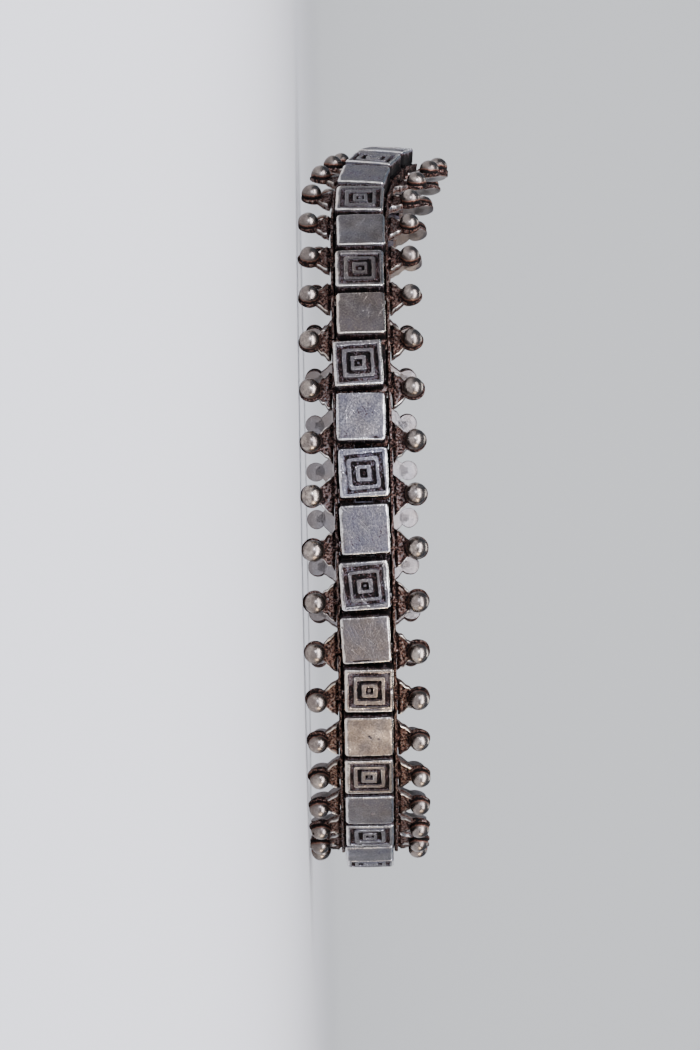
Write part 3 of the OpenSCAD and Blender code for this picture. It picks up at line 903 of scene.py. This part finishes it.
class BRACELET_PG_form(bpy.types.PropertyGroup):
    """Hand-made unevenness of the links."""
    edge_round: bpy.props.FloatProperty(name="Edge round", description="Radius of a box's worn edges",
                                        default=0.11 * MM, unit="LENGTH")
    groove_depth: bpy.props.FloatProperty(name="Groove depth", description="Depth of the engraved grooves",
                                          default=0.27 * MM, unit="LENGTH")
    engraving_wobble: bpy.props.FloatProperty(name="Engraving wobble", default=0.014 * MM, unit="LENGTH",
                                              description="Waver of the engraved lines")
    side_slope: bpy.props.FloatProperty(name="Side slope", description="Fall of a face towards the two rails",
                                        default=0.08 * MM, unit="LENGTH")
    face_unevenness: bpy.props.FloatProperty(name="Face unevenness", description="Swells of the filed faces",
                                             default=0.008 * MM, unit="LENGTH")
    rail_wave: bpy.props.FloatProperty(name="Rail wave", description="Waver of the rails' worn tops",
                                       default=0.035 * MM, unit="LENGTH")
    field_grain: bpy.props.FloatProperty(name="Field grain", description="Height of the ears' rough grains",
                                         default=0.03 * MM, unit="LENGTH")
    ball_unevenness: bpy.props.FloatProperty(name="Ball unevenness", description="Swells of the balls",
                                             default=0.012 * MM, unit="LENGTH")
    ball_slip: bpy.props.FloatProperty(name="Ball slip", default=0.045 * MM, unit="LENGTH",
                                       description="Usual distance of a ball from its place")
    face_wear: bpy.props.FloatProperty(name="Face wear", description="How far the faces are rubbed bright",
                                       default=0.56, min=0, max=1, subtype="FACTOR")
    ball_wear: bpy.props.FloatProperty(name="Ball wear", description="How far the balls are rubbed bright",
                                       default=0.62, min=0, max=1, subtype="FACTOR")


class BRACELET_PG_finish(bpy.types.PropertyGroup):
    """Colours of the silver, from black tarnish to worn edges."""
    crust: bpy.props.FloatVectorProperty(name="Crust", description="Black tarnish in the recesses",
                                         default=linear("#080606"), size=3, subtype="COLOR")
    brown: bpy.props.FloatVectorProperty(name="Brown", description="Brown tarnish round it",
                                         default=linear("#4a2d27"), size=3, subtype="COLOR")
    taupe: bpy.props.FloatVectorProperty(name="Taupe", description="Pinkish film on half-worn metal",
                                         default=linear("#8c6f66"), size=3, subtype="COLOR")
    slate: bpy.props.FloatVectorProperty(name="Slate", description="Blue-grey film in the grain of the faces",
                                         default=linear("#5e5d66"), size=3, subtype="COLOR")
    dull: bpy.props.FloatVectorProperty(name="Dull", description="Thin grey film on the least worn faces",
                                        default=linear("#6f6b6b"), size=3, subtype="COLOR")
    grey: bpy.props.FloatVectorProperty(name="Grey", description="Dulled silver of the faces",
                                        default=linear("#8d8989"), size=3, subtype="COLOR")
    bright: bpy.props.FloatVectorProperty(name="Bright", description="Silver rubbed bright on the edges",
                                          default=linear("#f6f2ec"), size=3, subtype="COLOR")


class BRACELET_PG_studio(bpy.types.PropertyGroup):
    """Floor, lights and camera."""
    floor_colour: bpy.props.FloatVectorProperty(name="Floor", description="Colour of the plain floor",
                                                default=linear("#d9dadb"), size=3, subtype="COLOR")
    key_power: bpy.props.FloatProperty(name="Key light", default=1.3, unit="POWER",
                                       description="Power of the small softbox by the camera")
    top_power: bpy.props.FloatProperty(name="Top light", description="Power of the long strip light above",
                                       default=9.0, unit="POWER")
    front_power: bpy.props.FloatProperty(name="Front light", default=1.5, unit="POWER",
                                         description="Power of the wide light at the front")
    side_power: bpy.props.FloatProperty(name="Side light", description="Power of the warm light at the side",
                                        default=2.0, unit="POWER")
    wall_power: bpy.props.FloatProperty(name="Wall light", description="Power of the light on the far wall",
                                        default=14.0, unit="POWER")
    camera_distance: bpy.props.FloatProperty(name="Camera distance", default=0.5025, unit="LENGTH",
                                             description="From the camera to the loop's middle")


# Operators

class BRACELET_OT_studio(bpy.types.Operator):
    """Lays the plain floor, sets the soft lights and stands the camera where the photograph was taken"""
    bl_idname = "bracelet.studio"
    bl_label = "Studio"

    def execute(self, context):
        studio = context.scene.bracelet_studio
        studio_floor(studio.floor_colour)
        studio_lights(studio)
        studio_camera(studio.camera_distance)
        return {"FINISHED"}


class BRACELET_OT_engraved_links(bpy.types.Operator):
    """Makes the links whose boxes are cut with nested squares"""
    bl_idname = "bracelet.engraved_links"
    bl_label = "Engraved links"

    def execute(self, context):
        finishes = link_finishes(context.scene.bracelet_finish)
        for i in range(0, LINKS, 2):
            build_link(i, context.scene.bracelet_form, finishes)
        return {"FINISHED"}


class BRACELET_OT_plain_links(bpy.types.Operator):
    """Makes the links with smooth boxes"""
    bl_idname = "bracelet.plain_links"
    bl_label = "Plain links"

    def execute(self, context):
        finishes = link_finishes(context.scene.bracelet_finish)
        for i in range(1, LINKS, 2):
            build_link(i, context.scene.bracelet_form, finishes)
        return {"FINISHED"}


class BRACELET_OT_clasp_pin(bpy.types.Operator):
    """Makes the plain pin that closes the band"""
    bl_idname = "bracelet.clasp_pin"
    bl_label = "Clasp pin"

    def execute(self, context):
        end, bevel = REST_HEIGHT - BITE, 0.04
        y = np.array([-PIN_HALF, bevel - PIN_HALF, -1, 1, 3, end - bevel, end])
        points = rod(y, CLASP_PIN_R * np.array([0.7, 1, 1, 1, 1, 1, 0.7]), 20)
        stack = (Place(CLASP_LINK).to_world(points), points, np.full(points.shape[:2], 0.55), 0)
        finishes = [link_finishes(context.scene.bracelet_finish)[CAST]]
        piece_from_stacks("drawn_clasp_pin", [stack], finishes, "clasp_pin")
        return {"FINISHED"}


class BRACELET_PT_panel(bpy.types.Panel):
    """Lists the pieces of the bracelet"""
    bl_label = "Bracelet"
    bl_idname = "BRACELET_PT_panel"
    bl_space_type = "VIEW_3D"
    bl_region_type = "UI"
    bl_category = "Bracelet"

    def draw(self, context):
        scene = context.scene
        for group in (scene.bracelet_form, scene.bracelet_finish, scene.bracelet_studio):
            box = self.layout.box()
            for name in group.__annotations__:
                box.prop(group, name)
        for operator in OPERATORS:
            self.layout.operator(operator.bl_idname)


OPERATORS = (BRACELET_OT_studio, BRACELET_OT_engraved_links, BRACELET_OT_plain_links, BRACELET_OT_clasp_pin)
GROUPS = (BRACELET_PG_form, BRACELET_PG_finish, BRACELET_PG_studio)
CLASSES = GROUPS + OPERATORS + (BRACELET_PT_panel,)


def register():
    """Registers the classes and puts their settings on the scene."""
    for one in CLASSES:
        bpy.utils.register_class(one)
    bpy.types.Scene.bracelet_form = bpy.props.PointerProperty(type=BRACELET_PG_form)
    bpy.types.Scene.bracelet_finish = bpy.props.PointerProperty(type=BRACELET_PG_finish)
    bpy.types.Scene.bracelet_studio = bpy.props.PointerProperty(type=BRACELET_PG_studio)


def unregister():
    """Takes the settings and the classes away again."""
    del bpy.types.Scene.bracelet_studio, bpy.types.Scene.bracelet_finish, bpy.types.Scene.bracelet_form
    for one in reversed(CLASSES):
        bpy.utils.unregister_class(one)


def main():
    """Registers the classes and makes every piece."""
    register()
    bpy.ops.bracelet.studio()
    bpy.ops.bracelet.engraved_links()
    bpy.ops.bracelet.plain_links()
    bpy.ops.bracelet.clasp_pin()


if __name__ == "__main__":
    main()
